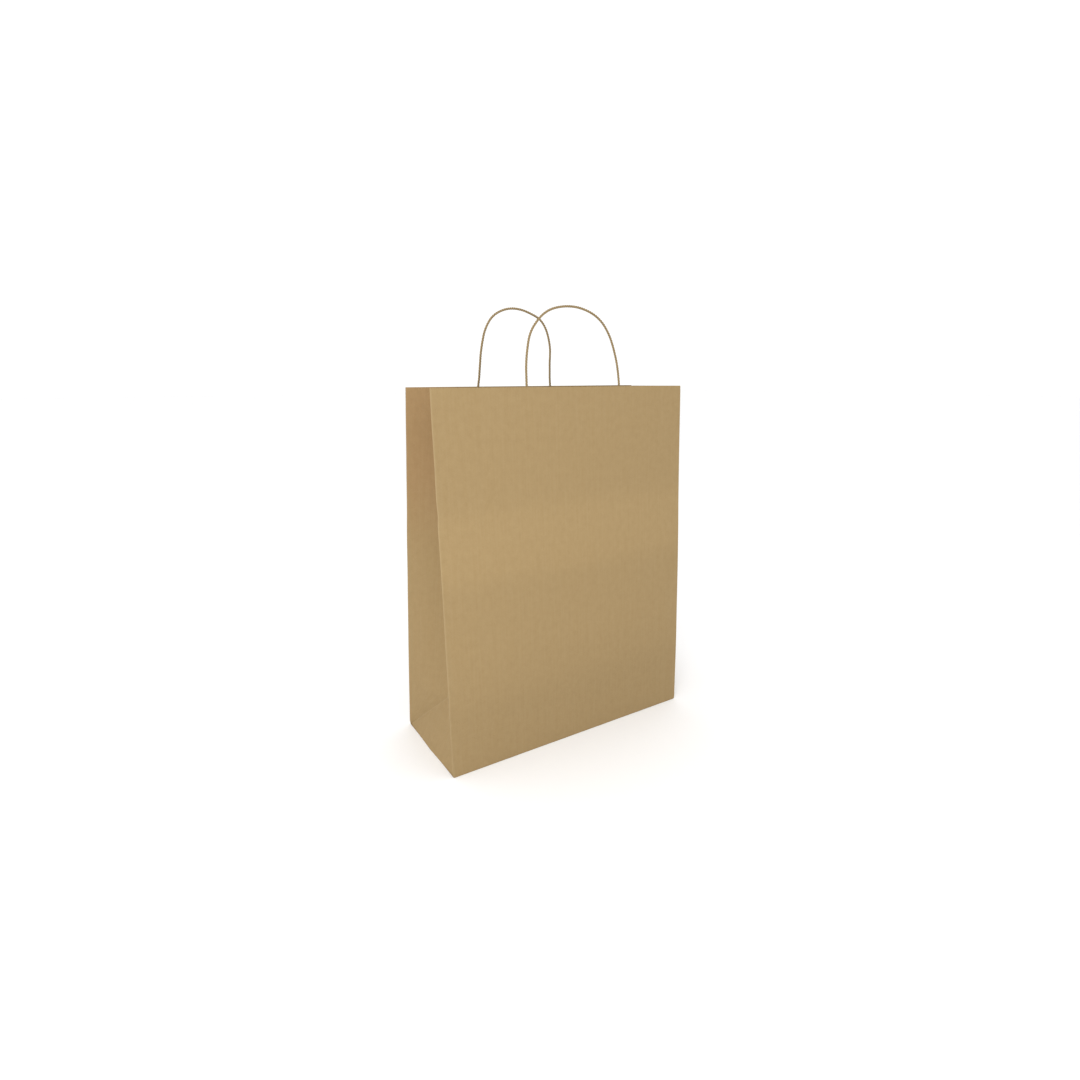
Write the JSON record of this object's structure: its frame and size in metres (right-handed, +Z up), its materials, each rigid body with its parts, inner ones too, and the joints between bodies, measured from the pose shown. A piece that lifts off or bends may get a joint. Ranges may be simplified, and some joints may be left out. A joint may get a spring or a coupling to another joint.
{
  "type": "gift bag",
  "caption": "Plain kraft paper block-bottom carrier bag with folded side gussets and two twisted paper cord handles, standing open.",
  "frame": {"origin": "centre of the base, on the surface that the bag stands on", "axes": "+Z up, +X along the bag's width, towards its right side, and -Y out of the front panel"},
  "size_m": [0.35, 0.14, 0.5309],
  "materials": {
    "kraft_paper": "uncoated brown kraft paper, matt, with fine fibres",
    "patch_paper": "uncoated brown kraft paper, matt",
    "paper_cord": "twisted kraft paper cord, matt"
  },
  "bodies": {
    "base": {"front_bottom_flap": "kraft_paper", "back_bottom_flap": "kraft_paper", "left_tuck_flap": "kraft_paper", "right_tuck_flap": "kraft_paper", "left_base_triangle": "kraft_paper", "right_base_triangle": "kraft_paper", "left_gusset_front": "kraft_paper", "left_gusset_rear": "kraft_paper", "right_gusset_front": "kraft_paper", "right_gusset_rear": "kraft_paper"},
    "front_wall": {"front_panel": "kraft_paper", "front_patch_backing": "patch_paper", "front_patch_cover": "patch_paper", "front_handle_ends": "paper_cord"},
    "back_wall": {"back_panel": "kraft_paper", "side_seam_tab": "kraft_paper", "back_patch_backing": "patch_paper", "back_patch_cover": "patch_paper", "back_handle_ends": "paper_cord"},
    "front_handle": {"front_handle_loop": "paper_cord"},
    "back_handle": {"back_handle_loop": "paper_cord"}
  },
  "joints": [
    {"name": "front_wall_crease", "type": "hinge", "parent": "base", "child": "front_wall", "pos_m": [0, -0.07, 0], "axis": [1, 0, 0], "range_deg": [-4, 2.7], "deforming": ["left_gusset_front", "right_gusset_front"]},
    {"name": "back_wall_crease", "type": "hinge", "parent": "base", "child": "back_wall", "pos_m": [0, 0.07, 0], "axis": [-1, 0, 0], "range_deg": [-4, 2.5], "deforming": ["left_gusset_rear", "right_gusset_rear"]},
    {"name": "front_handle_fold", "type": "hinge", "parent": "front_wall", "child": "front_handle", "pos_m": [0.0075, -0.049, 0.44], "axis": [1, 0, 0], "range_deg": [-15, 170]},
    {"name": "back_handle_fold", "type": "hinge", "parent": "back_wall", "child": "back_handle", "pos_m": [-0.02725, 0.03266, 0.44], "axis": [-0.9963, -0.0854, 0], "range_deg": [-15, 170]}
  ]
}
